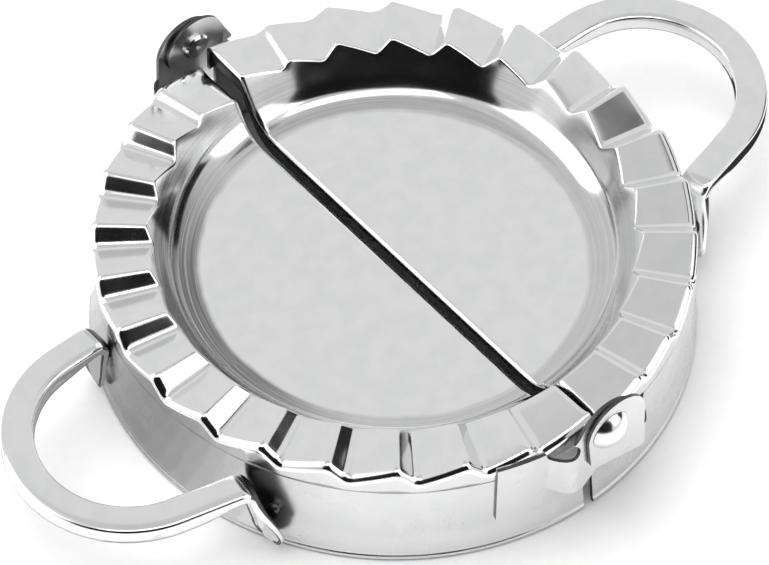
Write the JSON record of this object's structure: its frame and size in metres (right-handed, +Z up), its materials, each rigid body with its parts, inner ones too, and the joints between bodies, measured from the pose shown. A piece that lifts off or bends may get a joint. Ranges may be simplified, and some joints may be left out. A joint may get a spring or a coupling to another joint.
{
  "type": "empanada press",
  "caption": "Hinged round press of polished sheet steel that folds dough over a filling: bowl halves with a toothed sealing rim, cutter skirts and loop handles.",
  "frame": {"origin": "under the middle of the slit, on the plane that the skirts' cutting edges rest on", "axes": "+Z up, +X from the front handle to the back handle, +Y along the hinge axis to the far rivet"},
  "size_m": [0.1434, 0.1033, 0.0263],
  "materials": {
    "tray_steel": "bright pressed",
    "skirt_steel": "mirror polished",
    "handle_steel": "polished",
    "rivet_steel": "tumbled"
  },
  "bodies": {
    "front_half": {"front_tray": "tray_steel", "front_skirt": "skirt_steel", "front_hinge_strap": "skirt_steel", "front_handle": "handle_steel", "near_rivet": "rivet_steel", "far_rivet": "rivet_steel"},
    "back_half": {"back_tray": "tray_steel", "back_skirt": "skirt_steel", "back_hinge_strap": "skirt_steel", "back_handle": "handle_steel"}
  },
  "joints": [
    {"name": "fold", "type": "hinge", "parent": "front_half", "child": "back_half", "pos_m": [0, 0, 0.0207], "axis": [0, -1, 0], "range_deg": [0, 180]}
  ]
}
